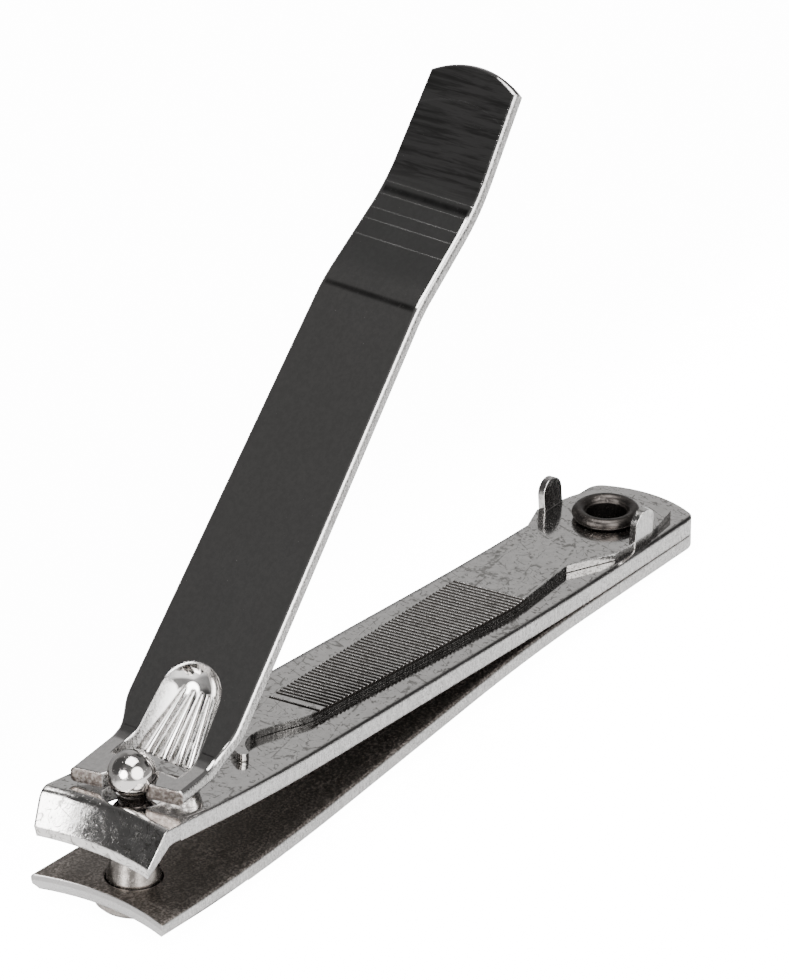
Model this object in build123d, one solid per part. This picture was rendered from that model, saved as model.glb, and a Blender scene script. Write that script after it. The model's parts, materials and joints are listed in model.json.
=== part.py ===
from build123d import *
import os
from math import atan, atan2, cos, degrees, radians, sin, sqrt

# Lever nail clipper with a swing-out file.
#
# Two spring-steel jaws are clamped together at the rear by a tubular rivet and bow apart
# towards the front. A post stands in the lower jaw, passes up through the upper jaw and
# ends in a ball. The lever's fork hangs on the ball, and a spoon pressed into the lever
# pushes on the upper jaw. A thin file blade swings on the rivet, on top of the upper jaw.
#
# All lengths are in millimetres. The design frame has X forward from the rear end of the
# jaws to the cutting edge, Y across, and Z up from the top of the clamped rear end.

# ---- driving dimensions ----
sheet = 1.5                 # thickness of both jaws
rear_width = 11.0           # jaws at the rear end
rear_apex = (-1.3, 1.0)     # rearmost point of the jaws' slightly slanting rear edge
rear_corners = (0.1, 0.3)   # X of its corners, on the +Y and the -Y side
corner_radius = 1.6         # rear corners of the jaws, in plan
jaw_round = 0.3             # rounding of the lower jaw's long edges

upper_width = 12.9          # upper jaw at its front bend
upper_bend_1 = 18.6         # X where the upper jaw leaves the clamped plane
upper_slope_1 = 0.038       # rise per millimetre, middle of the jaw
upper_bend_2 = 62.2         # X of the second, upward bend
upper_slope_2 = 0.114       # rise per millimetre, front of the jaw
upper_corner_x = 76.75      # X where the lip starts, on the middle line
bow_radius = 210.0          # bending radius of the jaws' gentle bends

lip_lean = 1.49             # how far the lip's outer face leans forward
lip_face_height = 3.10      # height of the lip's outer face
land_height = 0.89          # ground land above the cutting edge
land_lean = 0.13            # how far the land leans back again
lip_bend_radius = 0.9       # outer radius of the bend
edge_thickness = 0.12       # flat left on the cutting edge
edge_radius = 20.0          # both cutting edges are hollow curves of this radius
cutting_half_width = 5.85   # lip at the cutting edge
narrowing_x = 75.6          # the lip's sides are cut narrower ahead of here
narrowing_z = 2.6           # and below here

lower_width = 14.0          # lower jaw at the front
lower_bend_1 = 25.6         # X where the lower jaw leaves the clamped plane
lower_slope_1 = -0.085
lower_bend_2 = 64.3
lower_slope_2 = 0.012
lower_front_x = 79.0        # X of the lower jaw's front corners
lower_land = 0.55           # upright land under the lower cutting edge
lower_lean = 0.3            # how far the ground face leans back below the land
lower_clip = 0.7            # clipped lower corners of the front

rivet_x = 6.1               # X of the tubular rivet
rivet_bore = 1.85           # radius of the chain hole
rivet_tube = 2.2            # outer radius of the rivet's tube
rivet_hole = 2.25           # radius of the holes for it
rim_radius = 2.53           # middle radius of the rolled rim
rim_half_width = 0.60       # of the rim's section
rim_half_height = 0.55
rim_play = 0.03             # between the rim and the file blade
rivet_foot_radius = 3.0
rivet_foot = 0.6            # thickness of the lower flange
flange_round = 0.3          # rounding of the flange's lower edge

post_x = 74.0
post_hole = 2.5             # radius of the post's holes in both jaws
post_foot_radius = 3.4
post_foot = 0.9
foot_chamfer = 0.4
post_play = 0.03            # between the foot and the lower jaw
post_collar_radius = 2.35
post_shaft_radius = 1.7
post_neck_radius = 1.2
collar_height = 0.25        # of the collar above the lower jaw's top
post_taper = 2.3            # length of the taper above the collar
neck_zs = (1.9, 2.5)        # heights between which the shaft narrows to the neck
ball_radius = 2.08
ball_z = 5.05               # height of the ball's centre

lever_sheet = 1.3
fork_front_x = 75.25        # front of the prongs' top line
fork_front_z = 4.77         # top of the prongs there
fork_slope = 0.12           # rise of the prongs per millimetre towards the rear
fork_cut_x = 74.75          # X of the prongs' front ends, on the middle line
fork_skew = 10.0            # they are cut this many degrees off square
fork_spare = 0.6            # extra sheet ahead of the prongs, which that cut takes off
body_foot = (67.4, 7.78)    # a point on the top face of the lever's body
body_angle = 47.9           # the body's angle above the jaw
body_end = 38.8             # length from that point to the first grip bend
grip_angle = 35.4           # flatter stretch of the thumb grip
grip_length = 10.2
tip_angle = 53.6            # raised end of the thumb grip
tip_length = 11.9
prong_half_width = 5.22
body_half_width = 5.95
grip_half_width = 5.15
tip_half_width = 4.55
tip_bulge = 1.3
prong_start = -9.0          # front end of the flat outline, along the body from its foot
shoulder = (-3.2, 0.5)      # where the width changes from the prongs' to the body's
tip_reach = 20.4            # side corners of the tip, up the body from the first grip bend
grip_radii = (16, 14)       # bending radii of the tip and the grip
lever_round = 0.42          # rounding of the lever's long edges
fork_mouth = 2.45           # half width of the fork's mouth
fork_throat = 1.36          # half width around the post's neck
throat_xs = (71.4, 73.6)    # rear and front end of the throat
nose_xs = (67.2, 70.4)      # room for the spoon's nose behind the throat
nose_half_width = 2.1
seat_play = 0.06            # between the ball and its seat in the fork
spoon_radius = 3.6          # inner radius of the round-ended spoon
spoon_top = (1.5, 1.9)      # centre of its round end: up the body, and above the body's face
spoon_end = -3.85           # the spoon's nose, up the body
spoon_slope = 0.112         # the spoon deepens towards its nose
spoon_wall = 0.97
spoon_join = 0.4            # the spoon's wall starts this far below the body's top face
flute_angle = 24.0          # degrees between the flutes, around the spoon
flute_narrowing = 0.55      # the same at their upper ends, as a share
flute_radii = (0.15, 0.74)  # at the upper and the lower end
flute_start = 2.4           # upper end of the flutes, up the body

blade_sheet = 0.7
blade_lift = 0.04           # play between the blade and the upper jaw
# half widths of the blade along X on its +Y side: file from the tip's shoulder back, neck,
# ears, rear end
blade_shape = [(52.6, 2.45), (25, 3.6), (15.9, 2.6), (11.3, 4.65), (8.6, 4.8), (4.6, 4.6), (1.5, 3.85)]
blade_far = [2.45, 3.6, 2.9, 4.9, 5.9, 5.0, 3.9]       # the same on the other side
# the hooked cleaner tip: its +Y side, its rounded end and its other side
hook_near = [(55.7, 1.45), (59.0, 0.8), (61.8, 2.7)]
hook_corner = (62.5, 2.6)
hook_far = [(62.5, 1.9), (60.9, 0.1), (58.5, -0.95)]
ear_height = 2.8            # ears above the blade's top face
ear_width = 2.7
ear_lean = 4.0              # the ears lean outwards
ear_x = 7.2
ear_sides = (4.9, 5.75)     # outer faces of the ears, from the middle line
tooth_pitch = 0.53
tooth_depth = 0.16
tooth_rake = 8.0            # the teeth's angle off square
teeth_front_x = 52.2
teeth_count = 52

# The stored frame has its origin on the floor, under the middle of the whole object.
length_on_floor = 80.71     # from the rear end to the lip's foremost point

from_below = (Align.CENTER, Align.CENTER, Align.MIN)      # solids that stand on their place


def place(shape):
    """Stand a shape on the floor: on the post's foot and the rear edge of the rivet's flange."""
    foot_x = post_x - post_foot_radius + foot_chamfer
    flange_x = rivet_x - rivet_foot_radius + flange_round
    tilt = atan((rivet_floor() - post_floor()) / (foot_x - flange_x))
    floor = foot_x * sin(tilt) + post_floor() * cos(tilt)
    middle = rear_apex[0] * cos(tilt) + length_on_floor / 2
    return Pos(-middle, 0, -floor) * Rot(0, -degrees(tilt), 0) * shape


def direction(angle):
    """Unit vector in the side view, at an angle above the forward direction."""
    return Vector(cos(radians(angle)), sin(radians(angle)))


def side_sheet(points, radii, thickness):
    """Side-view face of a bent sheet, from the corners of its top line."""
    top = FilletPolyline(*points, radius=radii)
    return make_face(top.offset_2d(thickness, side=Side.RIGHT))


def extrude_side(face, width):
    """Turn a side-view face upright and extrude it evenly to both sides."""
    return extrude(Plane.XZ * face, amount=width / 2, both=True)


def upper_top(x):
    """Height of the upper jaw's top line, without its bends' rounding."""
    middle = max(0, min(x, upper_bend_2) - upper_bend_1) * upper_slope_1
    return middle + max(0, x - upper_bend_2) * upper_slope_2


def lower_top(x):
    """Height of the lower jaw's top line, without its bends' rounding."""
    middle = max(0, min(x, lower_bend_2) - lower_bend_1) * lower_slope_1
    return -sheet + middle + max(0, x - lower_bend_2) * lower_slope_2


def post_floor():
    """Height of the underside of the post's foot."""
    return lower_top(post_x) - sheet - post_play - post_foot


def rivet_floor():
    """Height of the underside of the rivet's flange."""
    return -2 * sheet - rivet_foot


def jaw_outline(front_width, front, length):
    """Plan of a jaw: straight sides that spread forward and a curved rear edge."""
    half_rear = rear_width / 2
    half_front = half_rear + (front_width / 2 - half_rear) * length / front
    near, far = (rear_corners[0], half_rear), (rear_corners[1], -half_rear)
    left = Line(near, (length, half_front))
    end = Line((length, half_front), (length, -half_front))
    right = Line((length, -half_front), far)
    rear = ThreePointArc(far, rear_apex, near)
    face = make_face([left, end, right, rear])
    corners = face.vertices().sort_by(Axis.X)[0:2]
    return fillet(corners, corner_radius)


def rounded(strip, radius, rear):
    """Strip with its side edges, and its end edges behind rear, rounded on both faces."""
    edges = []
    for edge in strip.edges():
        middle = edge.center()
        on_side = abs(middle.Y) > tip_half_width / 2 or middle.X < rear
        if on_side and edge.length > sheet + 0.1:
            edges.append(edge)
    return fillet(edges, radius)


def jaw_strip(line, radii, outline):
    """Bent strip under a plan outline, with its holes for the rivet and the post."""
    strip = extrude_side(side_sheet(line, radii, sheet), 2 * upper_width)
    strip &= extrude(outline, amount=20, both=True)
    strip -= Pos(rivet_x, 0, 0) * Cylinder(rivet_hole, 20)
    strip -= Pos(post_x, 0, 0) * Cylinder(post_hole, 30)
    return strip


def lip_section():
    """Section of the bend and the lip; the origin is the sharp corner on the top face."""
    land_top = (lip_lean, -lip_face_height)
    edge = (lip_lean - land_lean, -lip_face_height - land_height)
    lean = atan2(lip_lean, lip_face_height)
    inner_x = sheet * (sin(lean) - 1) / cos(lean)
    corners = [(-3, 0), (0, 0), land_top, edge, (edge[0] - edge_thickness, edge[1])]
    corners += [(inner_x, -sheet), (-3, -sheet)]
    face = make_face(Polyline(*corners, close=True))
    bend = face.vertices().sort_by_distance((0, 0))[0]
    face = fillet(bend, lip_bend_radius)
    inner = face.vertices().sort_by_distance((inner_x, -sheet))[0]
    return fillet(inner, lip_bend_radius)


def make_lip():
    """Lip of the upper jaw: its section turned about an upright line ahead of the jaw."""
    tilt = degrees(atan(upper_slope_2))
    corner = Vector(upper_corner_x, 0, upper_top(upper_corner_x))
    plane = Plane(corner, x_dir=(cos(radians(tilt)), 0, sin(radians(tilt))), z_dir=(0, -1, 0))
    reach = lip_lean + edge_radius
    axis_point = plane.from_local_coords((reach, 0, 0))
    axis = Axis(axis_point, plane.y_dir)
    half_turn = 22
    lip = revolve(plane * lip_section(), axis, revolution_arc=half_turn)
    return lip + mirror(lip, about=Plane.XZ)


def lip_side_cuts():
    """Wedges that narrow the lip towards the cutting edge."""
    top_half = upper_width / 2 + 0.02
    low = upper_top(upper_corner_x) - lip_face_height - land_height
    outside = upper_width
    wedge = [(top_half, narrowing_z), (cutting_half_width, low)]
    wedge += [(outside, low), (outside, narrowing_z)]
    cut = extrude(Plane.YZ.offset(narrowing_x) * make_face(Polyline(*wedge, close=True)), amount=8)
    return [cut, mirror(cut, about=Plane.XZ)]


def make_upper_jaw():
    """Upper jaw: bowed strip whose front is bent down into the hollow-ground lip."""
    end = post_x + 2
    line = [(rear_apex[0] - 1, 0), (upper_bend_1, 0), (upper_bend_2, upper_top(upper_bend_2))]
    line.append((end, upper_top(end)))
    outline = jaw_outline(upper_width, upper_corner_x, upper_corner_x + 5)
    strip_outline = outline & Rectangle(2 * (end - 1), 30)
    jaw = jaw_strip(line, [2 * bow_radius, bow_radius], strip_outline)
    lip = make_lip() & extrude(outline, amount=20, both=True)
    lip -= lip_side_cuts()
    jaw += lip
    return jaw - Pos(post_x, 0, 0) * Cylinder(post_hole, 30)


def lower_edge_cutter():
    """Grinding shape: an upright round land above a cone that leans back below it."""
    top = lower_top(lower_front_x)
    recess = edge_radius - sqrt(edge_radius**2 - (lower_width / 2)**2)
    centre = lower_front_x - recess + edge_radius
    cone = Cone(edge_radius + lower_lean, edge_radius, sheet - lower_land + 0.1, align=from_below)
    land = Cylinder(edge_radius, 4, align=from_below)
    cutter = Pos(centre, 0, top - sheet - 0.1) * cone
    return cutter + Pos(centre, 0, top - lower_land) * land


def lower_corner_clips():
    """Bars that clip the lower corners of the front."""
    low = lower_top(lower_front_x) - sheet
    bar = Rot(45, 0, 0) * Box(24, lower_clip, lower_clip)
    right = Pos(lower_front_x, lower_width / 2, low) * bar
    return [right, mirror(right, about=Plane.XZ)]


def make_lower_jaw():
    """Lower jaw: bowed strip with a hollow cutting edge and clipped front corners."""
    line = [(rear_apex[0] - 1, -sheet), (lower_bend_1, -sheet)]
    line += [(x, lower_top(x)) for x in (lower_bend_2, lower_front_x)]
    outline = jaw_outline(lower_width, lower_front_x, lower_front_x)
    jaw = rounded(jaw_strip(line, [bow_radius, bow_radius], outline), jaw_round, rivet_x / 2)
    jaw -= lower_corner_clips()
    return jaw - lower_edge_cutter()


def make_rivet():
    """Tubular rivet: a tube with a rolled rim above and a flat flange below."""
    bottom = rivet_floor()
    rim_z = blade_lift + blade_sheet + rim_play + rim_half_height
    body = Pos(rivet_x, 0, bottom) * Cylinder(rivet_tube, rim_z - bottom, align=from_below)
    flange = Pos(rivet_x, 0, bottom) * Cylinder(rivet_foot_radius, rivet_foot - 0.01, align=from_below)
    flange = fillet(flange.edges().group_by(Axis.Z)[0], flange_round)
    section = Pos(rim_radius, rim_z) * Ellipse(rim_half_width, rim_half_height)
    rim = Pos(rivet_x, 0, 0) * revolve(Plane.XZ * section, Axis.Z)
    bore = Pos(rivet_x, 0, bottom) * Cylinder(rivet_bore, rim_z - bottom + 2, align=from_below)
    return body + flange + rim - bore


def make_post():
    """Post: foot under the lower jaw, collar in its hole, shaft, neck and ball."""
    foot_top = post_floor() + post_foot
    collar_top = foot_top + sheet + collar_height
    outline = [(0, post_floor()), (post_foot_radius - foot_chamfer, post_floor())]
    outline += [(post_foot_radius, post_floor() + foot_chamfer), (post_foot_radius, foot_top)]
    outline += [(post_collar_radius, foot_top), (post_collar_radius, collar_top)]
    outline += [(post_shaft_radius, collar_top + post_taper), (post_shaft_radius, neck_zs[0])]
    outline += [(post_neck_radius, neck_zs[1]), (post_neck_radius, ball_z), (0, ball_z)]
    turned = revolve(Plane.XZ * make_face(Polyline(*outline, close=True)), Axis.Z)
    return Pos(post_x, 0, 0) * (turned + Pos(0, 0, ball_z) * Sphere(ball_radius))


def lever_line():
    """Corners of the lever's top line, from the fork to the tip."""
    foot = Vector(*body_foot)
    up = direction(180 - body_angle)
    # the prongs' line and the body's line meet at the fork's bend
    drop = foot.Y - fork_front_z - (fork_front_x - foot.X) * fork_slope
    bend = foot - up * (drop / (up.Y + up.X * fork_slope))
    grip = foot + up * body_end
    rise = grip + direction(180 - grip_angle) * grip_length
    tip = rise + direction(180 - tip_angle) * tip_length
    front = Vector(fork_front_x + fork_spare, fork_front_z - fork_spare * fork_slope)
    return [front, bend, grip, rise, tip]


def lever_plane():
    """Plane on the top face of the lever's body; local X runs up the body."""
    up = direction(180 - body_angle)
    return Plane((body_foot[0], 0, body_foot[1]), x_dir=(up.X, 0, up.Y), z_dir=(up.Y, 0, -up.X))


def lever_outline():
    """Outline of the lever as seen square to its body."""
    sides = [(prong_start, prong_half_width), (shoulder[0], prong_half_width)]
    sides.append((shoulder[1], body_half_width))
    sides += [(body_end, grip_half_width), (body_end + tip_reach, tip_half_width)]
    left = Spline(*sides[1:3], tangents=[(1, 0), (1, -0.02)])
    upper = [Line(sides[0], sides[1]), left, Line(sides[2], sides[3]), Line(sides[3], sides[4])]
    lower = [mirror(edge, about=Plane.XZ) for edge in upper]
    end = sides[-1]
    cap = ThreePointArc(end, (end[0] + tip_bulge, 0), (end[0], -end[1]))
    base = Line((sides[0][0], -sides[0][1]), sides[0])
    return make_face(upper + lower + [cap, base])


def spoon_height(reach):
    """Height of the spoon's axis above the body's face, at a distance up the body."""
    return spoon_top[1] - (spoon_top[0] - reach) * spoon_slope


def spoon_form(extra):
    """Round-ended bar along the spoon; extra is added to its radius."""
    plane = lever_plane()
    foot = spoon_end - 1.4          # a little past the nose, which is cut off later
    start = plane.from_local_coords((spoon_top[0], 0, spoon_top[1]))
    end = plane.from_local_coords((foot, 0, spoon_height(foot)))
    axis = end - start
    radius = spoon_radius + extra
    bar = Cylinder(radius, axis.length, align=from_below)
    return Plane(start, z_dir=axis) * bar + Pos(*start) * Sphere(radius)


def spoon_flutes():
    """Five shallow flutes that fan out along the bottom of the spoon."""
    plane = lever_plane()
    flutes = []
    for step in range(-2, 3):
        wide = radians(flute_angle * step)
        narrow = wide * flute_narrowing
        ends = []
        for reach, swing in [(flute_start, narrow), (spoon_end - 0.6, wide)]:
            across = spoon_radius * sin(swing)
            height = spoon_height(min(reach, spoon_top[0])) - spoon_radius * cos(swing)
            ends.append(plane.from_local_coords((reach, across, height)))
        axis = ends[1] - ends[0]
        cone = Cone(*flute_radii, axis.length, align=from_below)
        flutes.append(Plane(ends[0], z_dir=axis) * cone)
    return flutes


def fork_end():
    """Block that cuts the prongs' front ends off, slightly out of square."""
    block = Pos(5, 0, 0) * Box(10, 30, 20)
    return Pos(fork_cut_x, 0, 0) * Rot(0, 0, fork_skew) * block


def fork_slot():
    """Slot of the fork: an open mouth, the throat, and room for the spoon's nose."""
    points = [(fork_front_x + 1, fork_mouth + 0.5)]
    points += [(throat_xs[1], fork_throat), (throat_xs[0], fork_throat)]
    points += [(nose_xs[1], nose_half_width), (nose_xs[0], nose_half_width)]
    points += [(x, -y) for x, y in reversed(points)]
    return extrude(Plane.XY * make_face(Polyline(*points, close=True)), amount=9)


def make_lever():
    """Lever: fork, body, thumb grip with fine grip lines, and the fluted spoon."""
    line = lever_line()
    sheet_body = extrude_side(side_sheet(line[::-1], [*grip_radii, 3], -lever_sheet), 20)
    plane = lever_plane()
    sheet_body &= extrude(plane * lever_outline(), amount=12, both=True)
    sheet_body = rounded(sheet_body, lever_round, line[-1].X + 3)
    below = plane * Pos(0, 0, -spoon_join - 6) * Box(30, 20, 12)
    behind_nose = plane * Pos(spoon_end + 6, 0, 0) * Box(12, 20, 20)
    spoon = spoon_form(spoon_wall) & below & behind_nose
    lever = sheet_body - fork_slot() + spoon
    lever -= spoon_form(0)
    lever -= fork_end()
    lever -= spoon_flutes()
    return lever - Pos(post_x, 0, ball_z) * Sphere(ball_radius + seat_play)


def blade_outline():
    """Plan of the file blade: hooked cleaner tip, file, neck, shoulders round the rivet."""
    shoulder_end = blade_shape[0]
    right = Spline(shoulder_end, *hook_near)
    hook_end = ThreePointArc(hook_near[-1], hook_corner, hook_far[0])
    left = Spline(*hook_far, (shoulder_end[0], -shoulder_end[1]))
    far_side = [(x, -half) for (x, _), half in zip(blade_shape, blade_far)]
    upper = [Line(a, b) for a, b in zip(blade_shape[:-1], blade_shape[1:])]
    lower = [Line(a, b) for a, b in zip(far_side[:-1], far_side[1:])]
    rear = Line(blade_shape[-1], far_side[-1])
    return make_face([right, hook_end, left, rear] + upper + lower)


def blade_line():
    """Top line of the blade, which follows the upper jaw."""
    stops = [0, upper_bend_1, upper_bend_2, post_x]
    return [(x, upper_top(x) + blade_sheet + blade_lift) for x in stops]


def blade_ears():
    """Two rounded ears bent up beside the rivet, leaning outwards."""
    profile = SlotCenterToCenter(2 * ear_height, ear_width, rotation=90)
    ear = extrude(Plane.XZ * Pos(0, -ear_width / 2) * profile, amount=blade_sheet)
    ears = []
    for side, place_side in zip((1, -1), ear_sides):
        upright = Pos(ear_x, place_side, blade_sheet) * Rot(-ear_lean, 0, 0) * ear
        above = Box(10, 10, 20, align=from_below)
        upright &= Pos(ear_x, place_side, 0.05) * above
        ears.append(upright if side > 0 else mirror(upright, about=Plane.XZ))
    return ears


def file_teeth():
    """Grooves between the file's teeth: many small slanting V-shaped bars."""
    half = tooth_pitch / 2
    groove = Polyline((-half, 0.05), (half, 0.05), (0, -tooth_depth), close=True)
    bar = extrude(Plane.XZ * make_face(groove), amount=6, both=True)
    bar = Rot(0, -degrees(atan(upper_slope_1)), 0) * Rot(0, 0, tooth_rake) * bar
    # the front groove stands apart: one pitch is left out behind it
    steps = [0] + list(range(2, teeth_count + 2))
    bars = []
    for step in steps:
        x = teeth_front_x - step * tooth_pitch
        bars.append(Pos(x, 0, upper_top(x) + blade_sheet + blade_lift) * bar)
    return bars


def make_file_blade():
    """File blade: flat strip with slanting file teeth, a cleaner tip and two ears."""
    blade = extrude_side(side_sheet(blade_line(), [2 * bow_radius, bow_radius], blade_sheet), 20)
    blade &= extrude(blade_outline(), amount=10, both=True)
    blade -= file_teeth()
    blade += blade_ears()
    return blade - Pos(rivet_x, 0, 0) * Cylinder(rivet_hole, 20)


parts = {
    "upper_jaw": make_upper_jaw,
    "lower_jaw": make_lower_jaw,
    "eyelet": make_rivet,
    "post": make_post,
    "lever": make_lever,
    "file_blade": make_file_blade,
}

os.makedirs("parts", exist_ok=True)
for name, make in parts.items():
    export_step(place(make()), f"parts/{name}.step")
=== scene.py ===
"""Lever nail clipper: materials, floor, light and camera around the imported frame."""

import json
import math

import bmesh
import bpy
from mathutils import Matrix, Vector


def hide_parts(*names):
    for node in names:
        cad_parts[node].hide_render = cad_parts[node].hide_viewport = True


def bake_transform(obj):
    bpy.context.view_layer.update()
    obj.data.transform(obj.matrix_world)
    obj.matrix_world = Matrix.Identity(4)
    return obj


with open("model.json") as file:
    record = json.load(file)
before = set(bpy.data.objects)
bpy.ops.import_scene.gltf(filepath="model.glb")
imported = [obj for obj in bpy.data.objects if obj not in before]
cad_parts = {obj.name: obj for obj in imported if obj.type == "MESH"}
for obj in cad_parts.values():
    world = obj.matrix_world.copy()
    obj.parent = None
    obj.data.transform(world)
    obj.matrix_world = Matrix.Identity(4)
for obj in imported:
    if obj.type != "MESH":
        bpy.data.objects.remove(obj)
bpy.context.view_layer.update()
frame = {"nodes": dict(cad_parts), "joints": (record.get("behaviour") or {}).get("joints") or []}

# ---- the clipper's own axes and dimensions ----
# The design frame has X forward from the rear end of the jaws, Y across and Z up from the
# top of the clamped rear end, in millimetres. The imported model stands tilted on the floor,
# so the axes are read from the frame's joints.
MM = 0.001
RIVET = (6.1, 0.0, 0.04)      # where the file blade turns, in the design frame
REAR_HALF_WIDTH = 5.5         # of the jaws at the rear end
HALF_SPREAD = 0.0124          # gain of the upper jaw's half width per millimetre forward
ROLL_WIDTH = 0.9              # of the strip along each of its long edges that rolls off
ROLL_STEEPNESS = 0.24
FLAT_END = (75.5, 74.0)       # X where that rounding ends at the front
UPPER_BEND = 18.6             # X where the upper jaw starts to rise
UPPER_SLOPE = 0.038           # its rise per millimetre from there
BLADE_TOP = 0.74              # height of the file blade's top above the upper jaw's
LIP_START = (76.9, 77.4)      # X where the upper jaw's top has turned into the lip
GROUND_START = (76.0, 76.6)   # X where the lower jaw's ground front starts
GROUND_LAND = (-5.3, -5.1)    # Z where its leaning face meets the land above
BODY_ANGLE = 47.9             # of the lever's body, above the jaw
BODY_FOOT = (67.4, 7.78)      # X and Z of a point at the body's lower end
GRIP_BENDS = ((39.5, 42.0), (48.5, 51.0))       # the grip's two bends, up the body
GRIP_LINES = (43.6, 45.2, 46.3, 47.7, 48.9)     # the grip lines, up the body
TIP_LINE = 57.2               # the wear line on the tip, up the body
TIP_BOW = 1.4                 # how far that line bows
TIP_HALF_WIDTH = 5.0
PRONG_ENDS = (71.5, 72.5)     # X beyond which a face that looks ahead is a prong's end
TEETH = ((22.5, 23.0), (53.2, 52.7))            # X where the file's teeth start and end
SPRING = (9.0, 31.0)          # X between which the lower jaw bends
SPRING_CUTS = 22
NECK_TARNISH_AND_SHADE_EDGE = (4.1, 3.2)     # Z below which the post's neck is tarnished and painted with the shade under the ball
SHAFT_EDGE = (1.0, -0.5)      # Z below which it is a worn bare shaft

joints = {joint["name"]: joint for joint in frame["joints"]}
rivet_place = Vector(joints["file_swing"]["pos_m"])
up = Vector(joints["file_swing"]["axis"]).normalized()
across = Vector((0, 1, 0))
ahead = across.cross(up)


def turned(x, y, z):
    """A direction given in the design frame, in the row frame."""
    return ahead * x + across * y + up * z


def at(x, y, z):
    """A point given in the design frame, in the row frame."""
    offset = Vector((x, y, z)) - Vector(RIVET)
    return rivet_place + turned(*offset) * MM


# ---- materials ----
class Look:
    """A material being made: adds nodes and joins them."""

    def __init__(self, name):
        self.material = bpy.data.materials.new(name)
        self.material.use_nodes = True
        self.tree = self.material.node_tree
        self.shader = self.tree.nodes["Principled BSDF"]
        self.coords = self.add("ShaderNodeTexCoord")
        self.place = self.coords.outputs["Object"]
        self.normal = self.coords.outputs["Normal"]

    def add(self, kind, inputs=None, **settings):
        node = self.tree.nodes.new(kind)
        for name, value in settings.items():
            setattr(node, name, value)
        for name, value in (inputs or {}).items():
            self.put(node.inputs[name], value)
        return node

    def put(self, socket, value):
        if isinstance(value, bpy.types.NodeSocket):
            self.tree.links.new(value, socket)
        else:
            socket.default_value = value

    def set(self, **values):
        """Sets the shader's own sockets; spaces in their names are given as underscores."""
        for name, value in values.items():
            self.put(self.shader.inputs[name.replace("_", " ")], value)

    def calc(self, operation, a, b=0.0):
        node = self.add("ShaderNodeMath", operation=operation)
        self.put(node.inputs[0], a)
        self.put(node.inputs[1], b)
        return node.outputs[0]

    def ramp(self, value, start, end, low=0.0, high=1.0):
        """low before start, high after end, and a smooth step between them."""
        node = self.add("ShaderNodeMapRange", interpolation_type="SMOOTHSTEP")
        for socket, given in zip(node.inputs[:5], (value, start, end, low, high)):
            self.put(socket, given)
        return node.outputs[0]

    def mix(self, factor, a, b):
        node = self.add("ShaderNodeMix", data_type="RGBA")
        self.put(node.inputs[0], factor)
        self.put(node.inputs[6], grey(a))
        self.put(node.inputs[7], grey(b))
        return node.outputs[2]

    def blend(self, factor, a, b):
        """The same for plain numbers."""
        node = self.add("ShaderNodeMix", data_type="FLOAT")
        self.put(node.inputs[0], factor)
        self.put(node.inputs[2], a)
        self.put(node.inputs[3], b)
        return node.outputs[0]

    def along(self, direction, value=None):
        """Length of a vector along a direction of the design frame."""
        node = self.add("ShaderNodeVectorMath", operation="DOT_PRODUCT")
        self.put(node.inputs[0], value or self.place)
        node.inputs[1].default_value = turned(*direction)
        return node.outputs["Value"]

    def design(self, axis):
        """Design coordinate of the point being shaded, in millimetres."""
        direction = [0.0, 0.0, 0.0]
        direction[axis] = 1.0
        start = rivet_place.dot(turned(*direction)) / MM - RIVET[axis]
        return self.calc("SUBTRACT", self.calc("MULTIPLY", self.along(direction), 1 / MM), start)

    def mapped(self, stretch, turn=(0, 0, 0)):
        """Coordinates in millimetres, turned and then stretched."""
        node = self.add("ShaderNodeMapping", vector_type="TEXTURE")
        node.inputs["Rotation"].default_value = [math.radians(t) for t in turn]
        node.inputs["Scale"].default_value = [MM * s for s in stretch]
        self.put(node.inputs["Vector"], self.place)
        return node.outputs[0]

    def noise(self, size, stretch=(1, 1, 1), turn=(0, 0, 0), detail=2.0, rough=0.5, twist=0.0):
        """Noise whose blots are about size millimetres, longer where stretch is above 1."""
        node = self.add("ShaderNodeTexNoise", {"Scale": 1 / size, "Detail": detail})
        node.inputs["Roughness"].default_value = rough
        node.inputs["Distortion"].default_value = twist
        self.put(node.inputs["Vector"], self.mapped(stretch, turn))
        return node.outputs["Fac"]

    def hairlines(self, size, width, stretch=(1, 1, 1), turn=(0, 0, 0), twist=0.6):
        """Thin curved scratches: the lines where a noise passes through its middle value."""
        value = self.noise(size, stretch, turn, 1.0, 0.4, twist)
        away = self.calc("ABSOLUTE", self.calc("SUBTRACT", value, 0.5))
        return self.ramp(away, 0.0, width, 1.0, 0.0)


def grey(value):
    """A colour: a number becomes a grey, a triple gets its alpha."""
    if isinstance(value, bpy.types.NodeSocket):
        return value
    if isinstance(value, (int, float)):
        return (value, value, value, 1.0)
    return (*value, 1.0)


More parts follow.
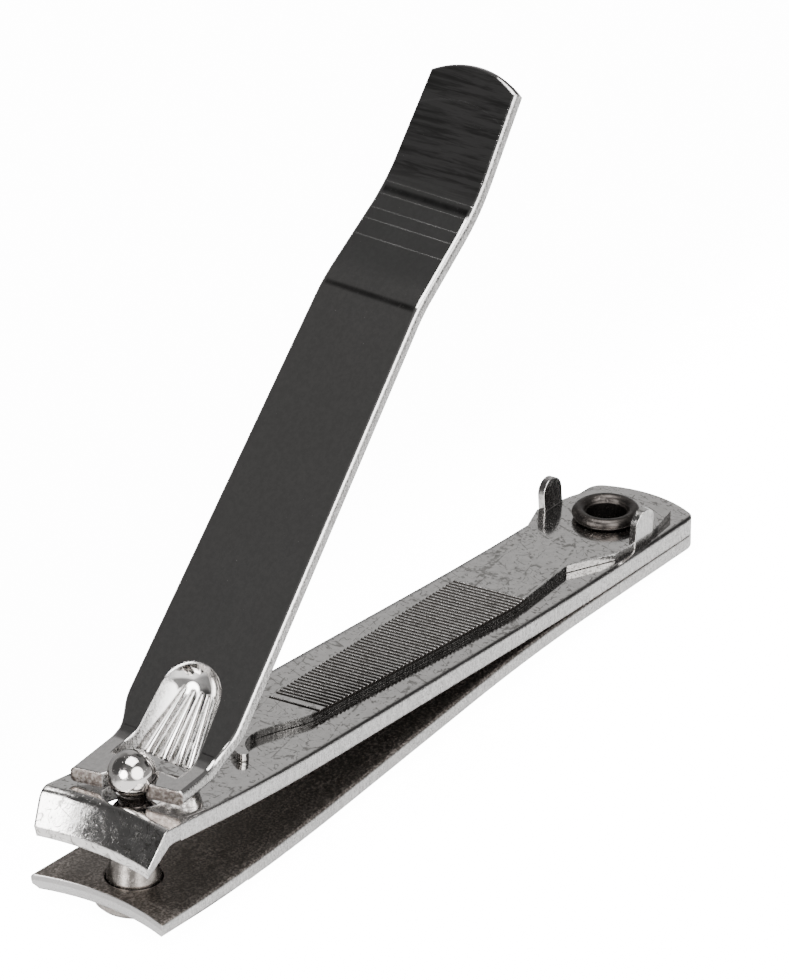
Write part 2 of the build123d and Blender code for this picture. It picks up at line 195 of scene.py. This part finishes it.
class Steel(Look):
    """Steel: edges that look rounded and worn, with masks for its cut sides and its faces."""

    def __init__(self, name, edge):
        super().__init__(name)
        bevel = self.add("ShaderNodeBevel", {"Radius": edge * MM}, samples=8)
        self.soft = bevel.outputs[0]
        geometry = self.add("ShaderNodeNewGeometry")
        agree = self.add("ShaderNodeVectorMath", operation="DOT_PRODUCT")
        self.put(agree.inputs[0], self.soft)
        self.put(agree.inputs[1], geometry.outputs["Normal"])
        self.worn = self.ramp(agree.outputs["Value"], 0.998, 0.93)
        self.side = self.ramp(self.calc("ABSOLUTE", self.along((0, 1, 0), self.normal)), 0.6, 0.85)
        self.upward = self.along((0, 0, 1), self.normal)

    def times(self, *values):
        product = values[0]
        for value in values[1:]:
            product = self.calc("MULTIPLY", product, value)
        return product

    def more(self, total, *values):
        """total plus the product of values."""
        return self.calc("ADD", total, self.times(*values))

    def stripe(self, value, middle, half):
        """A line where value passes middle: 1 there, 0 beyond half."""
        away = self.calc("ABSOLUTE", self.calc("SUBTRACT", value, middle))
        return self.ramp(away, half, half * 0.3)

    def polish(self, rough, scratch=0.12, pit=0.3, waves=0.0012, cover=0.5, thick=1.0, dents=1.0):
        """Roughness and bump of a polished face: smudges, hairline scratches and tiny pits.

        scratch and pit are what these add to the roughness, waves is the height of the
        face's waviness, cover is higher for fewer scratches, thick is their width, and
        dents is how deep they are.
        """
        smudge = self.noise(4.5, turn=(0, 0, 25), detail=3.0, rough=0.6)
        smudge = self.ramp(smudge, 0.35, 0.75)
        fine = self.hairlines(1.5, 0.045 * thick, turn=(10, 0, 40), twist=1.6)
        long = self.hairlines(2.6, 0.02 * thick, (6, 1, 1), (0, 0, 12), 0.3)
        cross = self.hairlines(2.2, 0.02 * thick, (1, 5, 1), (0, 0, -20), 0.4)
        short = self.ramp(self.noise(0.6, rough=0.6), cover, cover + 0.1)
        self.lines = self.times(self.calc("MAXIMUM", self.calc("MAXIMUM", fine, long), cross), short)
        self.pits = self.ramp(self.noise(0.17, detail=0.0), 0.76, 0.82, 0.0, dents)
        level = self.more(rough, smudge, 0.05)
        level = self.more(level, self.lines, scratch)
        level = self.more(level, self.pits, pit)
        self.rough = self.more(level, self.worn, 0.06)
        wave = self.times(self.noise(0.9), waves)
        self.relief = self.more(self.more(wave, self.lines, -0.003 * dents), self.pits, -0.004)

    def matt_sides(self, rough, grain):
        """Cut sides: satin, with a fine grain and short marks across the sheet."""
        speck = self.noise(0.16, detail=3.0, rough=0.7)
        marks = self.noise(0.35, (0.35, 1, 2.2), rough=0.6)
        self.grain = self.ramp(self.more(self.times(speck, 0.6), marks, 0.4), 0.36, 0.64)
        self.rough = self.blend(self.side, self.rough, self.more(rough, self.grain, 0.14))
        self.relief = self.blend(self.side, self.relief, self.times(self.grain, grain))

    def finish(self, colour):
        """Joins the collected roughness and relief and the colour to the shader."""
        bump = self.add("ShaderNodeBump", {"Strength": 1.0, "Distance": MM})
        self.put(bump.inputs["Height"], self.relief)
        self.put(bump.inputs["Normal"], self.soft)
        self.set(Metallic=1.0, Base_Color=colour, Roughness=self.rough, Normal=bump.outputs[0])
        return self.material


CHROME = (0.62, 0.60, 0.585)
CHROME_GREY = (0.50, 0.485, 0.47)
CHROME_DIM = (0.50, 0.49, 0.48)       # the lever's grip
CHROME_DARK = (0.40, 0.39, 0.385)     # its tip
CHROME_CLOUD = (0.36, 0.35, 0.345)    # faint clouds on the lever
SCRATCH = (0.22, 0.21, 0.20)
PIT = (0.30, 0.29, 0.285)
SATIN = (0.24, 0.235, 0.23)
SATIN_LIGHT = (0.52, 0.51, 0.50)
INSIDE = (0.12, 0.105, 0.092)         # brownish inner faces of the jaws
INSIDE_FLECK = (0.36, 0.325, 0.30)
INSIDE_CLOUD = (0.10, 0.088, 0.078)
GROUND = (0.46, 0.45, 0.445)          # ground front of the lower jaw
GROUND_DARK = (0.30, 0.29, 0.285)
CUT_DARK = (0.13, 0.125, 0.12)        # cut sides of the lever
CUT_LIGHT = (0.46, 0.45, 0.44)
SMEAR = (0.14, 0.135, 0.13)
PRONG = (0.12, 0.10, 0.09)
PRONG_FLECK = (0.30, 0.275, 0.255)
# painted shade in the file's grooves between the teeth
GROOVE_SHADE = (0.025, 0.022, 0.020)
RIVET_TONES = ((0.062, 0.055, 0.051), (0.036, 0.032, 0.030))
RIVET_FLECK = (0.15, 0.135, 0.125)
BALL = (0.60, 0.575, 0.555)
# the post's neck: tarnish, with the shade under the ball and in its hole painted in
NECK_TARNISH_AND_SHADE = (0.115, 0.100, 0.092)
NECK_TARNISH_AND_SHADE_DARK = (0.05, 0.042, 0.038)
SHAFT = (0.30, 0.275, 0.255)
SHAFT_DARK = (0.17, 0.155, 0.14)


def chrome_colour(look):
    """Slightly uneven plating, with darker scratches and pits, and satin cut sides."""
    tone = look.ramp(look.noise(0.7, detail=4.0, rough=0.65), 0.3, 0.8)
    colour = look.mix(tone, CHROME, CHROME_GREY)
    colour = look.mix(look.lines, colour, SCRATCH)
    colour = look.mix(look.side, colour, look.mix(look.grain, SATIN, SATIN_LIGHT))
    return look.mix(look.pits, colour, PIT)


def roll_off(look):
    """Height of a jaw's top as it rolls off towards its long edges."""
    half = look.calc("ADD", look.times(look.design(0), HALF_SPREAD), REAR_HALF_WIDTH)
    inset = look.calc("SUBTRACT", half, look.calc("ABSOLUTE", look.design(1)))
    near = look.calc("MAXIMUM", look.calc("SUBTRACT", ROLL_WIDTH, inset), 0.0)
    return look.times(near, near, -ROLL_STEEPNESS)


def dull_inside(look, colour, upper):
    """The jaws' inner faces: brownish, rough and flecked. Returns the new colour."""
    inner = look.ramp(look.times(look.upward, -1.0 if upper else 1.0), 0.3, 0.8)
    fleck = look.ramp(look.noise(0.22, detail=3.0, rough=0.7), 0.44, 0.66)
    cloud = look.ramp(look.noise(2.5, (2, 1, 1), (0, 0, 15), 3.0, 0.6), 0.3, 0.7)
    dark = look.mix(fleck, INSIDE, INSIDE_FLECK)
    dark = look.mix(look.times(cloud, 0.4), dark, INSIDE_CLOUD)
    look.rough = look.blend(inner, look.rough, look.more(0.36, fleck, 0.12))
    look.relief = look.more(look.relief, inner, fleck, 0.004)
    return look.mix(inner, colour, dark)


def upper_jaw_look():
    """Upper jaw: polished top that rolls off at its edges, satin sides, ground lip."""
    look = Steel("jaw_chrome", 0.28)
    look.polish(0.10, cover=0.44, dents=0.5)
    look.matt_sides(0.24, 0.006)
    colour = dull_inside(look, chrome_colour(look), True)
    lip = look.ramp(look.design(0), *LIP_START)
    grind = look.noise(0.22, (1, 1, 14), (0, 18, 0), 2.0, 0.6, 0.3)
    mottle = look.ramp(look.noise(1.6, detail=4.0, rough=0.7, twist=0.8), 0.4, 0.62)
    look.rough = look.more(look.rough, look.ramp(grind, 0.3, 0.7), mottle, lip, 0.16)
    look.relief = look.more(look.relief, grind, lip, 0.009)
    top = look.times(look.ramp(look.design(0), *FLAT_END), look.ramp(look.upward, 0.8, 0.95))
    look.relief = look.more(look.relief, roll_off(look), top)
    return look.finish(colour)


def lower_jaw_look():
    """Lower jaw: like the upper one, with a ground front below the cutting edge."""
    look = Steel("jaw_chrome_lower", 0.28)
    look.polish(0.10, cover=0.44)
    look.matt_sides(0.24, 0.006)
    colour = dull_inside(look, chrome_colour(look), False)
    front = look.ramp(look.design(0), *GROUND_START)
    grind = look.noise(0.2, (1, 8, 1), rough=0.6)
    look.relief = look.more(look.relief, grind, front, 0.004)
    look.rough = look.more(look.rough, front, 0.12)
    facing = look.times(front, look.ramp(look.along((1, 0, 0), look.normal), 0.5, 0.75))
    land = look.ramp(look.design(2), *GROUND_LAND)
    colour = look.mix(facing, colour, look.mix(land, GROUND, GROUND_DARK))
    return look.finish(colour)


def up_the_body(look):
    """Distance up the lever's body, from its foot."""
    lean = math.radians(BODY_ANGLE)
    back = look.calc("SUBTRACT", BODY_FOOT[0], look.design(0))
    rise = look.calc("SUBTRACT", look.design(2), BODY_FOOT[1])
    return look.calc("ADD", look.times(back, math.cos(lean)), look.times(rise, math.sin(lean)))


def lever_look():
    """Lever: mirror polish with faint clouds, fine grip lines and a smeared tip."""
    look = Steel("lever_chrome", 0.30)
    look.polish(0.05, scratch=0.02, pit=0.01, waves=0.0006, cover=0.56, thick=0.3, dents=0.1)
    look.matt_sides(0.22, 0.006)
    reach = up_the_body(look)
    lean = math.radians(BODY_ANGLE)
    top = look.ramp(look.along((math.sin(lean), 0, math.cos(lean)), look.normal), 0.5, 0.8)
    grip, tip = (look.ramp(reach, *bend) for bend in GRIP_BENDS)

    polished = look.mix(grip, CHROME, CHROME_DIM)
    polished = look.mix(tip, polished, CHROME_DARK)
    cloud = look.ramp(look.noise(0.45, detail=5.0, rough=0.75), 0.35, 0.65)
    polished = look.mix(look.times(cloud, 0.3), polished, CHROME_CLOUD)
    colour = look.mix(look.side, polished, look.mix(look.grain, CUT_DARK, CUT_LIGHT))

    smear = look.ramp(look.noise(0.45, (1, 16, 1), (0, 0, 3), 4.0, 0.7, 0.3), 0.42, 0.64)
    smear = look.times(smear, tip, top)
    colour = look.mix(look.times(smear, 0.75), colour, SMEAR)
    look.relief = look.more(look.relief, smear, 0.003)
    for middle in GRIP_LINES:
        line = look.times(look.stripe(reach, middle, 0.07), top)
        look.rough = look.more(look.rough, line, 0.14)
        look.relief = look.more(look.relief, line, -0.003)

    # a curved wear line that bows towards the tip's round end
    wide = look.calc("POWER", look.times(look.design(1), 1 / TIP_HALF_WIDTH), 2.0)
    bowed = look.calc("ADD", reach, look.times(wide, TIP_BOW))
    wear = look.times(look.stripe(bowed, TIP_LINE, 0.12), top)
    look.rough = look.more(look.rough, wear, 0.08)
    speck = look.ramp(look.noise(0.22, detail=1.0), 0.74, 0.80)
    patch = look.ramp(look.noise(7.0), 0.42, 0.6)
    look.rough = look.more(look.rough, speck, patch, 0.05)

    ahead_faces = look.ramp(look.along((1, 0, 0), look.normal), 0.8, 0.95)
    ends = look.times(ahead_faces, look.ramp(look.design(0), *PRONG_ENDS))
    fleck = look.ramp(look.noise(0.3, detail=3.0, rough=0.7), 0.4, 0.65)
    colour = look.mix(ends, colour, look.mix(fleck, PRONG, PRONG_FLECK))
    look.rough = look.more(look.rough, ends, 0.28)
    return look.finish(colour)


def blade_look():
    """File blade: brushed flat faces, with painted shade darkening the grooves between the teeth."""
    look = Steel("blade_steel", 0.10)
    look.polish(0.10, cover=0.44)
    look.matt_sides(0.09, 0.0006)
    colour = chrome_colour(look)
    rise = look.times(look.calc("SUBTRACT", look.design(0), UPPER_BEND), UPPER_SLOPE)
    depth = look.calc("SUBTRACT", look.calc("ADD", rise, BLADE_TOP), look.design(2))
    start, end = (look.ramp(look.design(0), *place) for place in TEETH)
    deep = look.ramp(depth, 0.01, 0.04)
    # painted shade: the grooves are coloured dark by their depth, where shade falls into them
    groove_shade = look.times(deep, look.times(start, end), look.ramp(depth, 0.5, 0.3))
    colour = look.mix(groove_shade, colour, GROOVE_SHADE)
    look.rough = look.more(look.rough, groove_shade, 0.25)
    return look.finish(colour)


def rivet_look():
    """Tubular rivet: dark worn plating with soft highlights."""
    look = Steel("rivet_dark", 0.2)
    look.polish(0.33, scratch=0.1)
    tone = look.ramp(look.noise(0.6, detail=4.0, rough=0.7), 0.35, 0.7)
    colour = look.mix(tone, *RIVET_TONES)
    fleck = look.ramp(look.noise(0.2), 0.62, 0.72)
    return look.finish(look.mix(fleck, colour, RIVET_FLECK))


def post_look():
    """Post: bright ball above a tarnished neck and shaft; the neck also carries painted shade from
    under the ball.
    """
    look = Steel("post_polish", 0.15)
    look.polish(0.06, scratch=0.1)
    # tarnish and painted shade: the neck below the ball is coloured dark where the ball shades it
    tarnish_and_shade = look.ramp(look.design(2), *NECK_TARNISH_AND_SHADE_EDGE)
    stain = look.ramp(look.noise(0.8, detail=4.0, rough=0.7), 0.35, 0.7)
    shaft = look.ramp(look.design(2), *SHAFT_EDGE)
    neck_tarnish_and_shade = look.mix(stain, NECK_TARNISH_AND_SHADE, NECK_TARNISH_AND_SHADE_DARK)
    column = look.mix(stain, SHAFT, SHAFT_DARK)
    colour = look.mix(tarnish_and_shade, BALL, look.mix(shaft, neck_tarnish_and_shade, column))
    look.rough = look.more(look.rough, tarnish_and_shade, 0.16)
    return look.finish(colour)


looks = {
    "upper_jaw": upper_jaw_look(),
    "lower_jaw": lower_jaw_look(),
    "eyelet": rivet_look(),
    "post": post_look(),
    "lever": lever_look(),
    "file_blade": blade_look(),
}
for name, material in looks.items():
    frame["nodes"][name].material_slots[0].material = material


# ---- the lower jaw, cut across where the spring bends ----
def springy_lower_jaw():
    """Copy of the lower jaw, cut across many times where it bends as the jaws part; the lower jaw
    itself is hidden.
    """
    part = frame["nodes"]["lower_jaw"]
    form = bmesh.new()
    form.from_mesh(part.data)
    form.transform(part.matrix_world)
    for step in range(SPRING_CUTS + 1):
        x = SPRING[0] + (SPRING[1] - SPRING[0]) * step / SPRING_CUTS
        everything = form.verts[:] + form.edges[:] + form.faces[:]
        bmesh.ops.bisect_plane(form, geom=everything, plane_co=at(x, 0, 0), plane_no=ahead)
    mesh = bpy.data.meshes.new("lower_jaw_spring")
    form.to_mesh(mesh)
    form.free()
    mesh.materials.append(looks["lower_jaw"])
    jaw = bpy.data.objects.new("lower_jaw_spring", mesh)
    bpy.context.scene.collection.objects.link(jaw)
    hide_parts("lower_jaw")
    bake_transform(jaw)


springy_lower_jaw()


# ---- floor, light and camera ----
FLOOR_SIZE = 4.0              # metres
PAPER = 0.88
PAPER_FAR = 0.2               # out of sight, the paper is darker in the reflections
PAPER_BESIDE = 0.12
GLOW = 14.0                   # the camera sees the paper blown out to white
OVERHEAD = {"place": (0.0, 0.0, 1.0), "size": 0.7, "power": 15}
# Light boxes and dark cards around the clipper, as azimuth from ahead and elevation,
# half width of the even part and of the whole with its soft edge, all in degrees, and
# brightness. Each covers the ones before it.
CARDS = (
    (-137, 42, 5, 12, 0.62),      # mirrored by the prongs
    (-145, 22, 12, 22, 0.68),     # by the upper jaw's and the blade's tops
    (-4, 19, 16, 20, 18.0),       # by the bright part of the lip
    (-58, 32, 28, 40, 0.105),     # by the lever and the dark part of the lip
    (-56, 50, 0.6, 2.4, 0.02),    # by the lever's bends, as dark lines
    (-172, 42, 5, 12, 0.03),      # by the upper jaw's rolled-off edge, as a dark line
    (148, 26, 8, 16, 0.03),       # by the same edge and the blade's side
    (68, 28, 24, 31, 8.0),        # by the lever's rounded edge, as a bright line
)
CAMERA_SIDE = (36.99, 27.42)      # azimuth and elevation of the camera
CAMERA_AIM = (40, 0, 15)          # the point that it looks at, in the design frame
CAMERA_DISTANCE = 0.57475         # metres
CAMERA_LENS = 247.05              # millimetres
CAMERA_SHIFT = (0.0150, 0.0258)


def make_floor():
    """White paper that glows for the camera only."""
    mesh = bpy.data.meshes.new("floor")
    half = FLOOR_SIZE / 2
    corners = [(-half, -half, 0), (half, -half, 0), (half, half, 0), (-half, half, 0)]
    mesh.from_pydata(corners, [], [(0, 1, 2, 3)])
    floor = bpy.data.objects.new("floor", mesh)
    bpy.context.scene.collection.objects.link(floor)
    look = Look("floor_paper")
    seen = look.add("ShaderNodeLightPath").outputs["Is Camera Ray"]
    beside = look.add("ShaderNodeSeparateXYZ", {"Vector": look.place}).outputs["Y"]
    away = look.add("ShaderNodeVectorMath", {"Vector": look.place}, operation="LENGTH")
    paper = look.mix(look.ramp(away.outputs["Value"], 0.12, 0.5), PAPER, PAPER_FAR)
    paper = look.mix(look.ramp(beside, -0.008, -0.03), paper, PAPER_BESIDE)
    look.set(Base_Color=paper, Roughness=0.8, Emission_Color=grey(1.0))
    look.set(Emission_Strength=look.calc("MULTIPLY", seen, GLOW))
    mesh.materials.append(look.material)


def make_overhead():
    """Soft square light above the clipper, facing down."""
    data = bpy.data.lights.new("overhead", "AREA")
    data.shape = "SQUARE"
    data.size = OVERHEAD["size"]
    data.energy = OVERHEAD["power"]
    light = bpy.data.objects.new("overhead", data)
    bpy.context.scene.collection.objects.link(light)
    light.location = OVERHEAD["place"]


def toward(azimuth, elevation):
    """Direction from the object, azimuth from ahead towards +Y, in degrees."""
    a, e = math.radians(azimuth), math.radians(elevation)
    return turned(math.cos(a) * math.cos(e), math.sin(a) * math.cos(e), math.sin(e))


class Sky(Look):
    """The studio around the clipper, as the world's background."""

    def __init__(self):
        world = bpy.data.worlds.new("studio")
        bpy.context.scene.world = world
        world.use_nodes = True
        self.tree = world.node_tree
        self.shader = self.tree.nodes["Background"]
        self.place = self.add("ShaderNodeTexCoord").outputs["Generated"]

    def spot(self, azimuth, elevation, inner, outer):
        """1 within inner degrees of a direction, 0 beyond outer."""
        node = self.add("ShaderNodeVectorMath", operation="DOT_PRODUCT")
        self.put(node.inputs[0], self.place)
        node.inputs[1].default_value = toward(azimuth, elevation)
        near, far = math.cos(math.radians(inner)), math.cos(math.radians(outer))
        return self.ramp(node.outputs["Value"], far, near)


def make_sky():
    """Soft pale surroundings with the light boxes and cards set into them."""
    sky = Sky()
    split = sky.add("ShaderNodeSeparateXYZ", {"Vector": sky.place})
    height = split.outputs["Z"]
    level = sky.ramp(height, 0.1, 0.85, 0.5, 0.2)
    for azimuth, elevation, inner, outer, brightness in CARDS:
        level = sky.blend(sky.spot(azimuth, elevation, inner, outer), level, brightness)
    sky.set(Color=grey(1.0), Strength=level)


def make_camera():
    """Long lens at the photograph's viewing angle."""
    data = bpy.data.cameras.new("camera")
    data.sensor_width = 36
    data.lens = CAMERA_LENS
    data.shift_x, data.shift_y = CAMERA_SHIFT
    data.clip_start = 0.01
    data.clip_end = 20
    camera = bpy.data.objects.new("camera", data)
    bpy.context.scene.collection.objects.link(camera)
    back = toward(*CAMERA_SIDE)
    right = up.cross(back).normalized()
    above = back.cross(right)
    turn = Matrix((right, above, back)).transposed().to_4x4()
    camera.matrix_world = Matrix.Translation(at(*CAMERA_AIM) + back * CAMERA_DISTANCE) @ turn
    bpy.context.scene.camera = camera


make_floor()
make_sky()
make_camera()
make_overhead()
